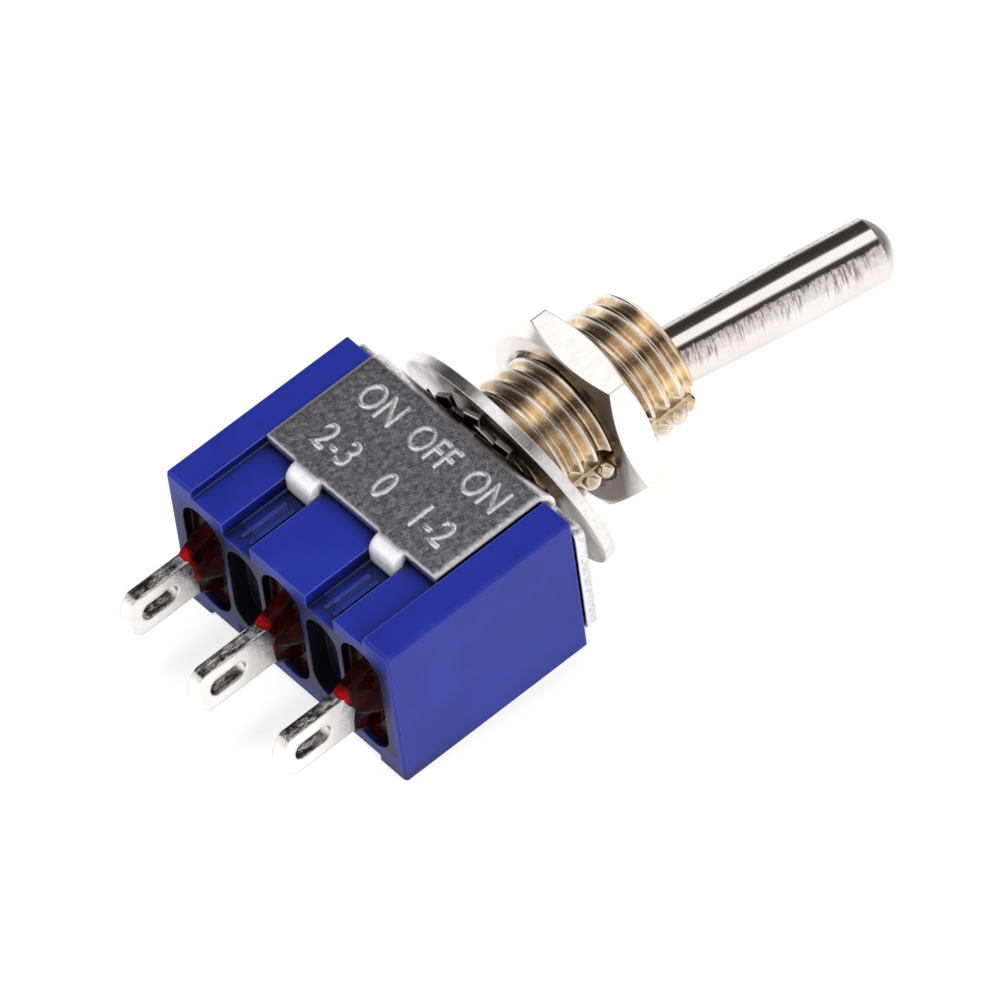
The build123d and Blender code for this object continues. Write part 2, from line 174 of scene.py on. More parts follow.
class Tree:
    """A shader node tree with short calls for what goes into it."""

    def __init__(self, owner):
        owner.use_nodes = True
        self.nodes = owner.node_tree.nodes
        self.links = owner.node_tree.links

    def node(self, kind, inputs=None, **attributes):
        """A node with its attributes set and its inputs linked or given values."""
        made = self.nodes.new(kind)
        for key, value in attributes.items():
            setattr(made, key, value)
        for socket, value in (inputs or {}).items():
            if isinstance(value, bpy.types.NodeSocket):
                self.links.new(value, made.inputs[socket])
            else:
                made.inputs[socket].default_value = value
        return made

    def math(self, operation, first, second=0.0):
        """One arithmetic step on sockets or numbers."""
        made = self.node("ShaderNodeMath", {0: first, 1: second}, operation=operation)
        return made.outputs[0]

    def times(self, first, second):
        """Two masks together."""
        return self.math("MULTIPLY", first, second)

    def ramp(self, factor, stops):
        """A colour ramp from (place, value or colour) stops."""
        made = self.node("ShaderNodeValToRGB", {"Fac": factor})
        elements = made.color_ramp.elements
        while len(elements) < len(stops):
            elements.new(0.5)
        for element, (place, value) in zip(elements, stops):
            element.position = place
            if isinstance(value, (int, float)):
                value = (value, value, value)
            element.color = (*value, 1)
        return made.outputs["Color"]

    def mix(self, factor, first, second):
        """A colour mix of two sockets or colours. The mix node has its colour
        inputs at 6 and 7 and its colour output at 2."""
        first, second = (
            value if isinstance(value, bpy.types.NodeSocket) else (*value, 1)
            for value in (first, second)
        )
        made = self.node(
            "ShaderNodeMix", {0: factor, 6: first, 7: second}, data_type="RGBA"
        )
        return made.outputs[2]


class Recipe(Tree):
    """A node material with a Principled shader and short calls for what feeds it."""

    def __init__(self, name, **settings):
        self.material = bpy.data.materials.new(name)
        super().__init__(self.material)
        self.shader = self.nodes["Principled BSDF"]
        for socket, value in settings.items():
            self.shader.inputs[socket.replace("_", " ")].default_value = value
        self.place = self.nodes.new("ShaderNodeTexCoord").outputs["Object"]

    def mapped(self, scale=(1, 1, 1), turn=(0, 0, 0)):
        """Object coordinates, first turned and then stretched along the turned axes."""
        turned = self.node("ShaderNodeMapping", {"Vector": self.place, "Rotation": turn})
        stretched = self.node(
            "ShaderNodeMapping", {"Vector": turned.outputs["Vector"], "Scale": scale}
        )
        return stretched.outputs["Vector"]

    def noise(self, size_mm, detail=4.0, rough=0.6, scale=(1, 1, 1), turn=(0, 0, 0)):
        """Fractal noise whose largest features are about size_mm across."""
        made = self.node(
            "ShaderNodeTexNoise",
            {
                "Vector": self.mapped(scale, turn),
                "Scale": 1 / (size_mm * MM),
                "Detail": detail,
                "Roughness": rough,
            },
        )
        return made.outputs["Fac"]

    def dot(self, first, second):
        """The dot product of two sockets or vectors."""
        made = self.node(
            "ShaderNodeVectorMath", {0: first, 1: second}, operation="DOT_PRODUCT"
        )
        return made.outputs["Value"]

    def stored(self, layer_name):
        """A number that the mesh stores at each point."""
        made = self.node("ShaderNodeAttribute", attribute_name=layer_name)
        return made.outputs["Fac"]

    def towards(self, direction):
        """How far the piece's own normal points along an upright direction, -1 to 1."""
        normal = self.nodes.new("ShaderNodeTexCoord").outputs["Normal"]
        return self.dot(normal, way(direction))

    def facing(self, direction):
        """How squarely the surface lies across an upright direction, 0 to 1."""
        return self.math("ABSOLUTE", self.towards(direction))

    def rounded(self, radius_mm, samples):
        """Normals that run smoothly over edges, as if they had that radius."""
        made = self.node("ShaderNodeBevel", {"Radius": radius_mm * MM}, samples=samples)
        return made.outputs["Normal"]

    def edge(self, radius_mm):
        """Near 1 along sharp edges and 0 elsewhere: how far a rounded normal leaves
        the flat one."""
        normal = self.nodes.new("ShaderNodeNewGeometry").outputs["Normal"]
        agreement = self.dot(normal, self.rounded(radius_mm, samples=8))
        return self.ramp(agreement, [(0.8, 1.0), (0.99, 0.0)])

    def along(self, direction=(0, 0, 1)):
        """Millimetres along an upright direction, from the bushing's axis at the top
        of the frame plate; straight up if none is given."""
        return self.math("DIVIDE", self.dot(self.place, way(direction)), MM)

    def aside(self, direction):
        """Millimetres from the bushing's axis, either way along a direction."""
        return self.math("ABSOLUTE", self.along(direction))

    def band(self, value, low, high, stops):
        """A ramp whose places are given in the value's own unit, from low to high."""
        share = self.math("DIVIDE", self.math("SUBTRACT", value, low), high - low)
        return self.ramp(share, [((at - low) / (high - low), level) for at, level in stops])

    def crevice(self, reach_mm):
        """0 deep in a groove or pit, rising to 1 where the surface lies open."""
        made = self.node(
            "ShaderNodeAmbientOcclusion", {"Distance": reach_mm * MM}, samples=8,
            only_local=False,
        )
        return made.outputs["AO"]

    def feed(self, socket, value):
        """Link a value into the shader."""
        self.links.new(value, self.shader.inputs[socket])

    def relief(self, height, depth_mm, rounded_mm=0.0):
        """Bump of a given depth, over edges rounded by a small radius."""
        made = self.node(
            "ShaderNodeBump", {"Height": height, "Distance": depth_mm * MM, "Strength": 1.0}
        )
        if rounded_mm:
            self.links.new(self.rounded(rounded_mm, samples=6), made.inputs["Normal"])
        self.feed("Normal", made.outputs["Normal"])


def moulded_blue():
    """Ultramarine thermoset: fine moulding grain, faint flow clouds, painted highlights
    along the edges, painted shade in the grooves and pits, and a dark smear round the wells."""
    r = Recipe("moulded_blue", IOR=1.36)
    clouds = r.noise(3.0, 3, 0.55)
    tint = r.ramp(clouds, [(0.3, (0.006, 0.016, 0.22)), (0.75, (0.011, 0.024, 0.30))])
    scuffs = r.noise(0.6, 6, 0.75, scale=(1, 0.25, 1))
    tint = r.mix(r.ramp(scuffs, [(0.62, 0.0), (0.85, 0.15)]), tint, (0.05, 0.07, 0.38))
    # painted highlight: a paler blue along the edges
    tint = r.mix(r.times(r.edge(0.12), 0.75), tint, (0.10, 0.14, 0.62))
    # painted shade: the blue goes near black in grooves and pits, by how closed in the
    # surface is
    unshaded = r.ramp(r.crevice(1.6), [(0.38, 0.0), (0.88, 1.0)])
    tint = r.mix(unshaded, (0.001, 0.002, 0.012), tint)
    # painted highlight: a paler grey blue along the rib edges inside the grooves
    rib_highlight = r.times(r.edge(0.25), r.ramp(r.crevice(1.6), [(0.3, 0.6), (0.8, 0.0)]))
    tint = r.mix(rib_highlight, tint, (0.09, 0.11, 0.26))

    well_floor = CASE_BOTTOM + WELL_DEPTH
    near_end = r.band(
        r.along(), CASE_BOTTOM - 1, CASE_BOTTOM + 3,
        [(well_floor, 1.0), (well_floor + 0.1, 0.0)],
    )
    # painted shade: below the well floor, the pits and wells at the terminal end go near
    # black
    shade = r.ramp(r.crevice(3.0), [(0.62, 1.0), (0.97, 0.0)])
    smear = r.times(
        r.ramp(r.towards((0, 0, -1)), [(0.8, 0.0), (0.95, 0.9)]),
        r.ramp(r.noise(1.6, 3, 0.6), [(0.36, 0.55), (0.58, 1.0)]),
    )
    inside = r.times(
        r.band(r.aside((0, 1, 0)), 0, 4, [(2.6, 1.0), (3.1, 0.0)]),
        r.band(r.aside((1, 0, 0)), 0, 7, [(6.1, 1.0), (6.45, 0.0)]),
    )
    # that painted shade of the pits, together with the dark smear on the end face, kept
    # within the well area, goes near black in the mix below
    shade = r.times(r.math("MAXIMUM", r.times(near_end, shade), smear), inside)
    r.feed("Base Color", r.mix(shade, tint, (0.002, 0.001, 0.006)))

    grain = r.noise(0.05, 3, 0.7)
    r.feed("Roughness", r.ramp(grain, [(0.2, 0.40), (0.8, 0.54)]))
    r.relief(grain, 0.003, rounded_mm=0.09)
    return r.material


def plated_sheet():
    """Tin-plated strip: dark rolled mottling, fine scratches, painted shade in hollows,
    painted highlights along wide edges, and a painted highlight on the tabs below the wall."""
    r = Recipe("plated_sheet", Metallic=1.0)
    mottle = r.noise(0.24, 6, 0.78)
    tint = r.ramp(mottle, [(0.38, (0.52, 0.51, 0.55)), (0.62, (0.92, 0.90, 0.94))])
    # painted shade: dark brown in the hollows, by how closed in the surface is
    unshaded = r.ramp(r.crevice(1.2), [(0.12, 0.0), (0.6, 1.0)])
    tint = r.mix(unshaded, (0.05, 0.03, 0.025), tint)
    # painted highlight: near white along the edges
    tint = r.mix(r.edge(0.3), tint, (0.97, 0.95, 0.95))
    on_tab = r.band(
        r.along(), WALL_DROP - 2, WALL_DROP + 1,
        [(WALL_DROP - 0.25, 1.0), (WALL_DROP + 0.05, 0.0)],
    )
    # painted highlight: the tabs below the wall turn pale and half matt
    tab_highlight = r.times(on_tab, r.ramp(mottle, [(0.3, 1.0), (0.8, 0.75)]))
    r.feed("Base Color", r.mix(tab_highlight, tint, (0.86, 0.86, 0.88)))
    r.feed("Metallic", r.ramp(tab_highlight, [(0.0, 1.0), (1.0, 0.12)]))
    scratch = r.noise(0.5, 6, 0.8, scale=(1, 0.08, 1), turn=(0, 0, 0.4))
    r.feed("Roughness", r.ramp(mottle, [(0.3, 0.10), (0.75, 0.22)]))
    r.relief(r.mix(0.4, mottle, scratch), 0.012, rounded_mm=0.36)
    return r.material


def legend_strokes():
    """Raised stamped strokes, burnished bright on their rounded tops."""
    r = Recipe("legend_strokes", Metallic=1.0)
    rub = r.noise(0.3, 4, 0.7)
    tint = r.ramp(rub, [(0.3, (0.86, 0.85, 0.87)), (0.7, (0.97, 0.96, 0.97))])
    r.feed("Base Color", tint)
    r.feed("Roughness", r.ramp(rub, [(0.3, 0.2), (0.8, 0.36)]))
    r.relief(r.noise(0.12, 4, 0.7), 0.02)
    return r.material


def washer_steel():
    """Zinc-bright washer steel with painted highlights along its edges and faint scratches;
    painted shade darkens the face towards the case, except near its two ends along X."""
    r = Recipe("washer_steel", Metallic=1.0)
    mottle = r.noise(0.35, 5, 0.7)
    tint = r.ramp(mottle, [(0.3, (0.70, 0.67, 0.67)), (0.7, (0.92, 0.90, 0.90))])
    under = r.ramp(r.towards((0, 0, -1)), [(0.6, 0.0), (0.9, 1.0)])
    # painted shade: dark brown on the face towards the case, fading out near both ends along
    # X
    underside_shade = r.band(
        r.along((1, 0, 0)), -6, 6, [(-3.4, 0.0), (-1.2, 0.85), (4.7, 0.95), (5.5, 0.1)]
    )
    tint = r.mix(r.times(under, underside_shade), tint, (0.10, 0.08, 0.072))
    # painted shade: dark brown in the hollows, by how closed in the surface is
    unshaded = r.ramp(r.crevice(1.2), [(0.08, 0.0), (0.45, 1.0)])
    tint = r.mix(unshaded, (0.06, 0.035, 0.025), tint)
    # painted highlight: pale along the edges
    r.feed("Base Color", r.mix(r.edge(0.1), tint, (0.92, 0.89, 0.89)))
    scratch = r.noise(0.8, 6, 0.75, scale=(1, 1, 0.1))
    r.feed("Roughness", r.ramp(scratch, [(0.3, 0.22), (0.75, 0.4)]))
    r.relief(mottle, 0.008, rounded_mm=0.12)
    return r.material


def turned_nickel():
    """Polished nickel over turned brass; chatter marks cross one flank of the bar in
    patches, and painted shade darkens the tip."""
    r = Recipe("turned_nickel", Metallic=1.0)
    blush = r.noise(2.0, 3, 0.5)
    tint = r.ramp(blush, [(0.3, (0.76, 0.70, 0.67)), (0.7, (0.85, 0.79, 0.76))])
    # painted shade: the tip's dome goes dark brown on its side towards the stamped wall
    tip_shade = r.times(
        r.ramp(r.towards(LEVER_WAY), [(0.12, 0.0), (0.3, 1.0)]),
        r.ramp(r.towards((-0.1, -1, 0)), [(0.2, 0.1), (0.55, 0.9)]),
    )
    tint = r.mix(tip_shade, tint, (0.13, 0.095, 0.085))

    turn = (0, 0, LEVER_THROW)
    marks = r.noise(0.10, 3, 0.7, scale=(0.28, 1, 0.28), turn=turn)
    flank = r.band(
        r.towards((0, 1, 0)), -1, 1,
        [(-0.86, 0.0), (-0.78, 1.0), (-0.5, 0.9), (-0.2, 0.12), (0.05, 0.0)],
    )
    patch = r.times(r.ramp(r.noise(1.3, 3, 0.6), [(0.36, 0.2), (0.56, 1.0)]), flank)
    streaks = r.noise(0.13, 2, 0.55, scale=(0.12, 1, 0.12), turn=turn)
    streaks = r.times(r.ramp(streaks, [(0.52, 0.0), (0.6, 0.8)]), patch)
    r.feed("Base Color", r.mix(streaks, tint, (0.17, 0.14, 0.13)))
    marks = r.mix(patch, (0.5, 0.5, 0.5), marks)
    r.feed("Roughness", r.ramp(marks, [(0.3, 0.07), (0.8, 0.2)]))
    r.relief(marks, 0.13, rounded_mm=0.05)
    return r.material


def bright_nut():
    """Bright nickel plate with soft corners and a little tool chatter, with painted shade
    on part of the face towards the case."""
    r = Recipe("bright_nut", Metallic=1.0)
    blush = r.noise(1.2, 3, 0.5)
    tint = r.ramp(blush, [(0.3, (0.90, 0.87, 0.84)), (0.7, (0.96, 0.94, 0.92))])
    under = r.ramp(r.towards((0, 0, -1)), [(0.4, 0.0), (0.7, 1.0)])
    # painted shade: dark brown on the face towards the case, from about -0.4 to 4.3 mm along
    # X
    underside_shade = r.band(
        r.along((1, 0, 0)), -5, 5, [(-0.4, 0.0), (1.2, 0.92), (3.5, 0.92), (4.3, 0.2)]
    )
    r.feed("Base Color", r.mix(r.times(under, underside_shade), tint, (0.10, 0.065, 0.045)))
    marks = r.noise(0.2, 5, 0.7, scale=(1, 0.2, 1))
    r.feed("Roughness", r.ramp(marks, [(0.3, 0.16), (0.8, 0.28)]))
    r.relief(marks, 0.0015, rounded_mm=0.12)
    return r.material


def thread_nickel():
    """Nickel over brass: pale crests with a painted highlight along the edges of each
    crest, golden brown roots, and painted shade in the hollows.
    """
    r = Recipe("thread_nickel", Metallic=1.0)
    patch = r.noise(0.9, 4, 0.6)
    warm = r.ramp(patch, [(0.35, (0.50, 0.36, 0.24)), (0.65, (0.98, 0.78, 0.50))])
    crest = r.ramp(patch, [(0.3, (0.80, 0.74, 0.68)), (0.7, (0.92, 0.88, 0.84))])
    # pale on the crests, golden in the roots; brightest just off each crest top as a painted
    # highlight
    crest_tone_and_highlight = r.ramp(
        r.stored("root_depth"), [(0.0, 0.35), (0.05, 1.0), (0.2, 0.9), (0.42, 0.05)]
    )
    tint = r.mix(crest_tone_and_highlight, warm, crest)
    # painted shade: dark brown in the thread's hollows and where it meets other parts
    unshaded = r.ramp(r.crevice(1.6), [(0.05, 0.0), (0.5, 1.0)])
    r.feed("Base Color", r.mix(unshaded, (0.16, 0.10, 0.06), tint))
    grain = r.noise(0.12, 5, 0.7)
    r.feed("Roughness", r.ramp(grain, [(0.3, 0.14), (0.8, 0.34)]))
    r.relief(grain, 0.005)
    return r.material


def lug_silver():
    """Silver-plated strip: satin rolled faces that darken to the root, coarse dark
    sheared edges, and painted highlights along all its edges."""
    r = Recipe("lug_silver", Metallic=1.0)
    blush = r.noise(0.8, 4, 0.6)
    rolled = r.ramp(blush, [(0.3, (0.88, 0.85, 0.82)), (0.7, (0.96, 0.94, 0.92))])
    root = r.band(r.along(), -15, -9, [(-13.0, 0.0), (-10.9, 0.8)])
    rolled = r.mix(root, rolled, (0.40, 0.38, 0.38))
    tear = r.noise(0.3, 4, 0.65, scale=(1, 0.5, 1))
    torn = r.ramp(tear, [(0.42, (0.10, 0.095, 0.09)), (0.6, (0.92, 0.90, 0.88))])
    sheared = r.ramp(r.facing((0, 1, 0)), [(0.6, 0.0), (0.85, 1.0)])
    tint = r.mix(sheared, rolled, torn)
    # painted highlight: near white along every edge
    r.feed("Base Color", r.mix(r.edge(0.14), tint, (0.97, 0.95, 0.93)))
    r.feed("Roughness", r.ramp(tear, [(0.3, 0.18), (0.8, 0.34)]))
    r.relief(r.mix(sheared, blush, tear), 0.03, rounded_mm=0.16)
    return r.material


def potting_resin():
    """Dark red potting resin: nearly black where it is deep, clear red where it
    thins out as a film up the lug."""
    r = Recipe(
        "potting_resin", Roughness=0.26, IOR=1.15, Specular_IOR_Level=0.12,
        Coat_Weight=0.06, Coat_Roughness=0.04,
    )
    clouds = r.noise(0.7, 4, 0.6)
    deep = r.ramp(clouds, [(0.35, (0.004, 0.001, 0.001)), (0.75, (0.030, 0.0015, 0.002))])
    thin = r.ramp(clouds, [(0.35, (0.06, 0.001, 0.001)), (0.68, (0.42, 0.006, 0.006))])
    film = r.ramp(r.stored("film"), [(0.72, 0.0), (0.9, 1.0)])
    r.feed("Base Color", r.mix(film, deep, thin))
    r.relief(r.noise(0.5, 3, 0.5), 0.03)
    return r.material


def plain_metal():
    """Plain steel of the sealed inner pieces."""
    r = Recipe("inner_metal", Metallic=1.0)
    grain = r.noise(0.2, 4, 0.6)
    r.feed("Base Color", r.ramp(grain, [(0.3, (0.5, 0.5, 0.5)), (0.7, (0.66, 0.65, 0.64))]))
    r.feed("Roughness", r.ramp(grain, [(0.3, 0.25), (0.8, 0.4)]))
    return r.material


def natural_nylon():
    """Milky nylon of the plunger."""
    r = Recipe("natural_nylon", Roughness=0.45)
    grain = r.noise(0.4, 4, 0.6)
    tint = r.ramp(grain, [(0.3, (0.74, 0.72, 0.66)), (0.7, (0.84, 0.82, 0.77))])
    r.feed("Base Color", tint)
    return r.material


# ---- new pieces ----


def add_piece(name, mesh, material, replaced=()):
    """A finished mesh as a piece at the origin that rides on the body of the part."""
    mesh.materials.clear()
    mesh.materials.append(material)
    piece = bpy.data.objects.new(name, mesh)
    bpy.context.scene.collection.objects.link(piece)
    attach(piece, "body")
    if replaced:
        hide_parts(*replaced)


def ring_mesh(name, rings, layer_name, layer):
    """A smooth closed mesh over rings of upright points, each joined to the next and
    the last to the first, that stores a number at each point."""
    rows, columns = rings.shape[:2]
    r, c = (index.ravel() for index in np.indices((rows, columns)))
    below, right = (r + 1) % rows, (c + 1) % columns
    faces = np.stack(
        [r * columns + c, r * columns + right, below * columns + right, below * columns + c],
        axis=1,
    )
    mesh = bpy.data.meshes.new(name)
    mesh.from_pydata(stand(rings.reshape(-1, 3)).tolist(), [], faces.tolist())
    mesh.validate()
    mesh.update()
    mesh.polygons.foreach_set("use_smooth", np.full(len(mesh.polygons), True))
    stored = mesh.attributes.new(layer_name, "FLOAT", "POINT")
    stored.data.foreach_set("value", layer.ravel().astype(np.float32))
    return mesh


def thread_radius(height, angle):
    """Radius of an M6 thread. Across a groove the flank's height is a hyperbola,
    tan(60) * (sqrt(u^2 + r^2) - r) for a distance u from the groove's middle, so
    the root is round and the flanks straight; it is cut off at a flat crest. The
    groove climbs one pitch per turn, deepens gradually from the shoulder and meets
    the chamfer at the end."""
    phase = (height / THREAD_PITCH - angle / (2 * math.pi)) % 1.0
    u = np.abs(phase - 0.5) * THREAD_PITCH
    rise = math.sqrt(3) * (np.sqrt(u ** 2 + ROOT_ROUNDING ** 2) - ROOT_ROUNDING)
    depth = np.clip(THREAD_DEPTH - rise, 0, THREAD_DEPTH)
    radius = BUSHING_RADIUS - depth * np.clip(height / THREAD_RUN_IN, 0, 1)
    end = BUSHING_RADIUS - np.clip(height - (BUSHING_HEIGHT - END_CHAMFER), 0, None)
    return np.minimum(radius, end)


def level_ring(x, y, height):
    """Points of one ring, all at one height."""
    return np.stack([x, y, np.full(len(x), height)], axis=1)


def bushing_rings():
    """A closed loop of profile rows swept round the axis, and at each point how deep
    it lies in the thread, as a share of the thread's depth.

    Rows climb the threaded outside, cross the end face and come back down the
    flared mouth, throat, ball seat and bore to the staked flange. Columns go
    round from one wall of the keyway to the other, then across its flat floor.
    """
    half = KEYWAY_WIDTH / 2
    edge_angle = math.asin(half / BUSHING_RADIUS)
    angles = np.linspace(edge_angle, 2 * math.pi - edge_angle, THREAD_COLUMNS)
    floor_y = np.linspace(-half, half, FLOOR_COLUMNS)

    rings = []
    depths = []
    for height in np.linspace(0, BUSHING_HEIGHT, THREAD_ROWS):
        radius = thread_radius(height, angles)
        ring_x, ring_y = radius * np.cos(angles), radius * np.sin(angles)
        ring_x[[0, -1]] = np.sqrt(radius[[0, -1]] ** 2 - half ** 2)
        ring_y[[0, -1]] = half, -half
        floor_x = np.full(FLOOR_COLUMNS, min(KEYWAY_FLOOR, ring_x[0]))
        rings.append(
            level_ring(np.append(ring_x, floor_x), np.append(ring_y, floor_y), height)
        )
        share = (BUSHING_RADIUS - radius) / THREAD_DEPTH
        depths.append(np.append(share, np.full(FLOOR_COLUMNS, FLOOR_DEPTH_SHARE)))

    seat_rise = math.sqrt(BORE_RADIUS ** 2 - THROAT_RADIUS ** 2)
    seat_angles = np.linspace(math.asin(seat_rise / BORE_RADIUS), 0, SEAT_ROWS)
    profile = [
        (MOUTH_RADIUS, BUSHING_HEIGHT),
        (MOUTH_RADIUS - LIP_STEP[0], BUSHING_HEIGHT - LIP_STEP[1]),
        (THROAT_RADIUS, PIVOT_HEIGHT + seat_rise + THROAT_LENGTH),
        *[(BORE_RADIUS * math.cos(a), PIVOT_HEIGHT + BORE_RADIUS * math.sin(a))
          for a in seat_angles],
        (BORE_RADIUS, FLANGE_BOTTOM),
        (BUSHING_RADIUS, FLANGE_BOTTOM),
        (BUSHING_RADIUS, -PLATE_THICKNESS),
        (NECK_RADIUS, -PLATE_THICKNESS),
        (NECK_RADIUS, 0),
    ]
    # these rows have no keyway: the floor's columns lie strictly between its walls'
    across_keyway = np.linspace(-edge_angle, edge_angle, FLOOR_COLUMNS + 2)[1:-1]
    round_angles = np.append(angles, across_keyway)
    for radius, height in profile:
        rings.append(
            level_ring(radius * np.cos(round_angles), radius * np.sin(round_angles), height)
        )
        depths.append(np.full(len(round_angles), BORE_DEPTH_SHARE))
    return np.stack(rings), np.stack(depths)


def add_threaded_bushing(material):
    """The bushing with its real M6 x 0.75 thread and keyway."""
    rings, depths = bushing_rings()
    mesh = ring_mesh("threaded_bushing", rings, "root_depth", depths)
    add_piece("threaded_bushing", mesh, material, ["bushing"])


def oval(angle, half_width, half_length):
    """A slot outline: straight long sides joined by half rounds of half_width. The
    sides open quickly, within the first sixth of the sine."""
    x = half_width * np.cos(angle)
    y = half_width * np.sin(angle)
    straight = half_length - half_width
    return x, y + np.sign(np.sin(angle)) * straight * np.minimum(1, np.abs(np.sin(angle)) * 6)


def add_resin(name, x, node, material):
    """Potting resin: a flat face in the well that swells into a bead round the lug,
    (1 - (d / reach)^1.4)^0.85 high at a distance d from it, highest at the lug's
    upper edge, with a thin creep up the well's wall and a round bead,
    exp(-(d / reach)^2), where it has run to the lug's lower edge."""
    angle = np.linspace(0, 2 * math.pi, RESIN_AROUND, endpoint=False)
    out_x, out_y = oval(angle, WELL_WIDTH / 2, WELL_LENGTH / 2)
    half_t, half_w = TERMINAL_THICKNESS / 2 + LUG_GAP, TERMINAL_WIDTH / 2 + LUG_GAP
    reach = 1 / np.maximum(np.abs(np.cos(angle)) / half_t, np.abs(np.sin(angle)) / half_w)
    in_x, in_y = reach * np.cos(angle), reach * np.sin(angle)
    # the rows crowd towards the lug, where the face is steepest
    share = np.linspace(0, 1, RESIN_ACROSS)[:, None] ** 1.6
    px = in_x + (out_x - in_x) * share
    py = in_y + (out_y - in_y) * share

    from_lug = np.hypot(px - in_x, py - in_y)
    from_wall = np.hypot(px - out_x, py - out_y)
    from_drip = px ** 2 + (py - in_y.max() - DRIP_OFFSET) ** 2
    upper_edge = 0.35 * np.clip(-np.sin(angle), 0, 1) ** 8
    uneven = 0.08 * np.sin(angle * 2 + x)
    creep = 1.05 + upper_edge + uneven
    near_lug = np.clip(1 - (from_lug / LUG_BEAD_REACH) ** 1.4, 0, 1) ** 0.85
    up_wall = WALL_CREEP_HEIGHT * np.exp(-from_wall / WALL_CREEP_REACH)
    drip = np.exp(-from_drip / DRIP_REACH ** 2)
    climb = creep * near_lug + up_wall + DRIP_HEIGHT * drip
    face = np.stack([px, py, CASE_BOTTOM + RESIN_SUNK - climb * RESIN_SWELL], axis=2)
    under = face[::-1].copy()
    under[:, :, 2] = CASE_BOTTOM + WELL_DEPTH

    film = np.maximum(near_lug * creep / creep.max(), drip)
    mesh = ring_mesh(
        name, np.concatenate([face, under]) + [x, 0, 0],
        "film", np.concatenate([film, np.zeros_like(film)]),
    )
    add_piece(name, mesh, material, [node])


def letter_mesh(name, words):
    """Letters with thin rounded strokes, closed and evenly wound, in the font's unit."""
    curve = bpy.data.curves.new(name, "FONT")
    curve.body = words
    curve.size = 2.0
    curve.offset = -0.045
    curve.extrude = 0.01
    curve.bevel_depth = 0.07
    curve.bevel_resolution = 3
    curve.resolution_u = 6
    drawn = bpy.data.objects.new(name + "_curve", curve)
    bpy.context.scene.collection.objects.link(drawn)
    bpy.context.view_layer.update()
    mesh = bpy.data.meshes.new_from_object(drawn)
    bpy.data.objects.remove(drawn)

    letters = bmesh.new()
    letters.from_mesh(mesh)
    bmesh.ops.remove_doubles(letters, verts=letters.verts, dist=SAME_POINT)
    bmesh.ops.dissolve_degenerate(letters, edges=letters.edges, dist=SAME_POINT)
    bmesh.ops.recalc_face_normals(letters, faces=letters.faces)
    letters.to_mesh(mesh)
    letters.free()
    return mesh


def add_legend(name, words, material, width_mm, x, z):
    """Stamped words: thin raised strokes on the upper wall of the frame. The
    letters are stretched to the line's width and height, then stood on the wall."""
    mesh = letter_mesh(name, words)
    flat = np.empty(len(mesh.vertices) * 3)
    mesh.vertices.foreach_get("co", flat)
    across, up, out = flat.reshape(-1, 3).T
    across = (across - (across.max() + across.min()) / 2) * width_mm / np.ptp(across)
    up = (up - (up.max() + up.min()) / 2) * LEGEND_CAP / np.ptp(up)
    upright = np.stack([across + x, WALL_FACE - out, up + z], axis=1)
    mesh.vertices.foreach_set("co", stand(upright).ravel())
    mesh.update()
    add_piece(name, mesh, material)


def fold_spring():
    """Measures each point of the coil spring along the shank and gives the spring a mesh
    of its own; the spring is not shortened.
    """
    spring = frame["nodes"]["plunger_spring"]
    bpy.context.view_layer.update()
    shank = way(LEVER_WAY)
    reach = [(spring.matrix_world @ v.co).dot(shank) for v in spring.data.vertices]
    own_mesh(spring)


# ---- camera, floor and light ----


def look_from(azimuth, elevation):
    """Unit vector from the object to an eye at that azimuth and elevation."""
    a, e = math.radians(azimuth), math.radians(elevation)
    return Vector((math.sin(a) * math.cos(e), -math.cos(a) * math.cos(e), math.sin(e)))


def add_camera():
    """A long lens far off. Its back and up directions turn with the part."""
    camera = bpy.data.objects.new("camera", bpy.data.cameras.new("camera"))
    camera.data.lens = LENS
    camera.data.sensor_width = SENSOR
    camera.data.clip_start = 0.01
    target = Vector(stand([CAMERA_TARGET])[0])
    back = way(CAMERA_BACK)
    right = way(CAMERA_UP).cross(back).normalized()
    up = back.cross(right)
    turn = Matrix((right, up, back)).transposed().to_4x4()
    camera.matrix_world = Matrix.Translation(target + CAMERA_DISTANCE * back) @ turn
    bpy.context.scene.collection.objects.link(camera)
    bpy.context.scene.camera = camera


def add_panel(name, azimuth, elevation, size, power):
    """A soft rectangular lamp aimed at the object, not mirrored in its metal."""
    lamp = bpy.data.lights.new(name, "AREA")
    lamp.shape = "RECTANGLE"
    lamp.size, lamp.size_y = size
    lamp.energy = power
    panel = bpy.data.objects.new(name, lamp)
    panel.visible_glossy = False
    panel.location = LAMP_DISTANCE * look_from(azimuth, elevation)
    panel.rotation_euler = (-panel.location).to_track_quat("-Z", "Y").to_euler()
    bpy.context.scene.collection.objects.link(panel)


def seen_directly(tree):
    """1 for camera, glossy and transmission rays, otherwise 0."""
    ray = tree.node("ShaderNodeLightPath").outputs
    first = tree.math("MAXIMUM", ray["Is Camera Ray"], ray["Is Glossy Ray"])
    return tree.math("MAXIMUM", first, ray["Is Transmission Ray"])


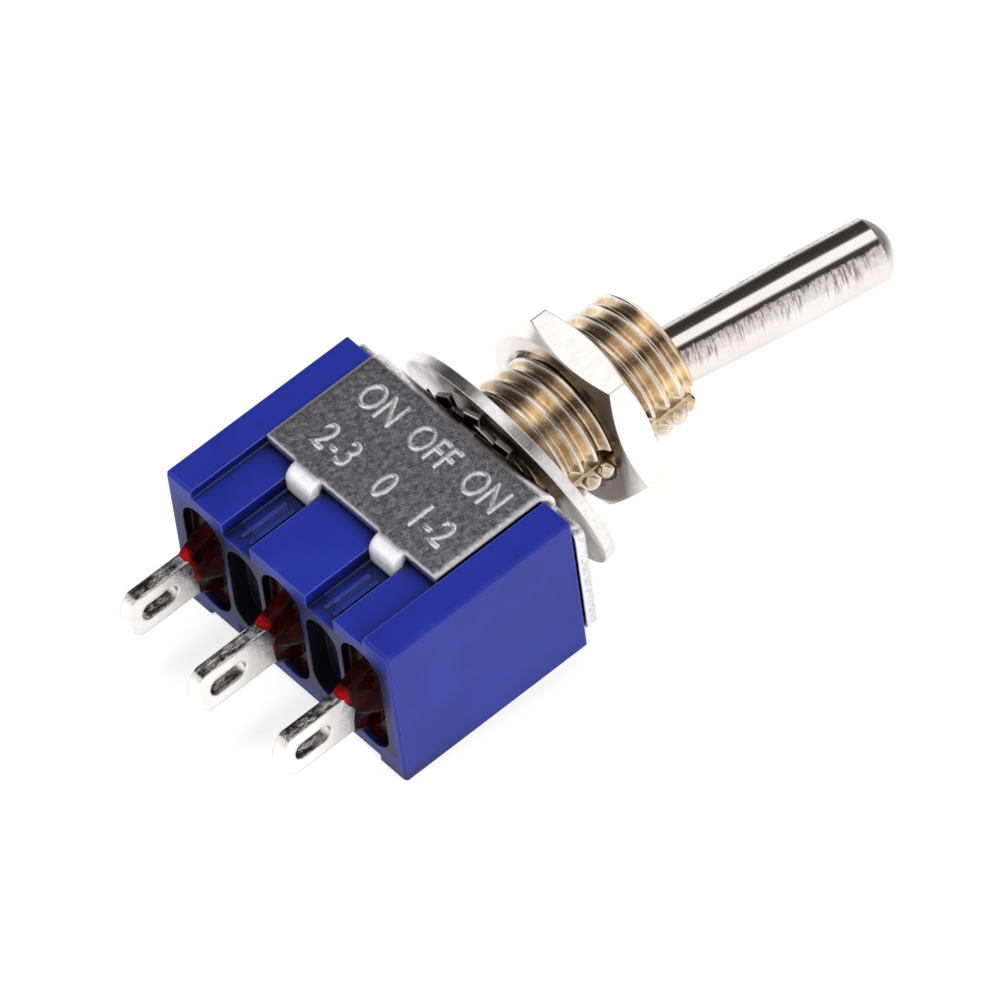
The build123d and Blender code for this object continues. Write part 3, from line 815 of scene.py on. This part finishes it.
def white_table():
    """White that glows a little for the eye and keeps the part's shadow; light that
    bounces off it finds it plain matt white."""
    material = bpy.data.materials.new("white_table")
    tree = Tree(material)
    tree.nodes.clear()
    matt = tree.node("ShaderNodeBsdfDiffuse", {"Color": (*[FLOOR_GREY] * 3, 1)})
    shaded = tree.node("ShaderNodeBsdfDiffuse", {"Color": (*[SHADOWED_GREY] * 3, 1)})
    glow = tree.node("ShaderNodeEmission", {"Strength": FLOOR_GLOW})
    glowing = tree.node("ShaderNodeAddShader", {0: shaded.outputs[0], 1: glow.outputs[0]})
    table = tree.node(
        "ShaderNodeMixShader",
        {0: seen_directly(tree), 1: matt.outputs[0], 2: glowing.outputs[0]},
    )
    tree.node("ShaderNodeOutputMaterial", {"Surface": table.outputs[0]})
    return material


def add_floor(height):
    """A square table top under the part."""
    half = FLOOR_HALF
    corners = [(-half, -half, height), (half, -half, height), (half, half, height),
               (-half, half, height)]
    mesh = bpy.data.meshes.new("floor")
    mesh.from_pydata(corners, [], [(0, 1, 2, 3)])
    mesh.materials.append(white_table())
    floor = bpy.data.objects.new("floor", mesh)
    bpy.context.scene.collection.objects.link(floor)


def light_world():
    """A white surround for the eye; for everything else a studio of long strip
    lights that lie along the part, with dark gaps between them and a pale wall
    past each end."""
    world = bpy.data.worlds.new("studio")
    bpy.context.scene.world = world
    tree = Tree(world)
    tree.nodes.clear()
    place = tree.node("ShaderNodeTexCoord").outputs["Generated"]
    axes = tree.node("ShaderNodeSeparateXYZ", {0: place}).outputs
    turn = tree.node(
        "ShaderNodeMapRange",
        {
            "Value": tree.math("ARCTAN2", axes["X"], axes["Z"]),
            "From Min": -math.pi,
            "From Max": math.pi,
        },
    )
    strips = tree.ramp(
        turn.outputs[0], [((degrees + 180) / 360, bright) for degrees, bright in STUDIO]
    )
    endways = tree.node(
        "ShaderNodeMapRange",
        {
            "Value": tree.math("ABSOLUTE", axes["Y"]),
            "From Min": END_WALL_STARTS,
            "From Max": END_WALL_FULL,
        },
        interpolation_type="SMOOTHSTEP",
    )
    walled = tree.mix(endways.outputs[0], strips, END_WALL)
    room = tree.node("ShaderNodeBackground", {"Color": walled})
    white = tree.node("ShaderNodeBackground", {"Color": (1, 1, 1, 1)})
    ray = tree.node("ShaderNodeLightPath").outputs
    seen = tree.node(
        "ShaderNodeMixShader",
        {0: ray["Is Camera Ray"], 1: room.outputs[0], 2: white.outputs[0]},
    )
    tree.node("ShaderNodeOutputWorld", {"Surface": seen.outputs[0]})


# ---- the scene ----

add_camera()
bpy.context.scene.view_settings.view_transform = "Standard"
light_world()
add_floor(cad_box[0][2])
add_panel("key", azimuth=75, elevation=40, size=(0.14, 0.10), power=0.30)
add_panel("fill", azimuth=-30, elevation=60, size=(0.10, 0.12), power=0.22)

thread = thread_nickel()
resin = potting_resin()
strokes = legend_strokes()
FINISHES = [
    (moulded_blue(), ["case"]),
    (plated_sheet(), ["frame_plate"]),
    (turned_nickel(), ["toggle_lever"]),
    (bright_nut(), ["hex_nut"]),
    (washer_steel(), ["locating_washer", "lock_washer"]),
    (lug_silver(), [
        "terminal_left", "terminal_common", "terminal_right",
        "rocker_contact_left", "rocker_contact_right",
        "fixed_contact_left", "fixed_contact_right",
    ]),
    (plain_metal(), ["pivot_pin", "plunger_spring", "contact_rocker"]),
    (natural_nylon(), ["plunger_tip"]),
    (thread, ["bushing"]),
    (resin, ["terminal_seal_left", "terminal_seal_common", "terminal_seal_right"]),
]
for finish, node_names in FINISHES:
    for node_name in node_names:
        for slot in frame["nodes"][node_name].material_slots:
            slot.material = finish

fold_spring()
add_threaded_bushing(thread)
add_resin("resin_left", -TERMINAL_PITCH, "terminal_seal_left", resin)
add_resin("resin_common", 0.0, "terminal_seal_common", resin)
add_resin("resin_right", TERMINAL_PITCH, "terminal_seal_right", resin)
add_legend("legend_positions", "ON  OFF  ON", strokes, width_mm=8.1, x=0.1, z=-1.95)
add_legend("legend_numbers", "2-3   0   1-2", strokes, width_mm=7.6, x=0.15, z=-4.5)
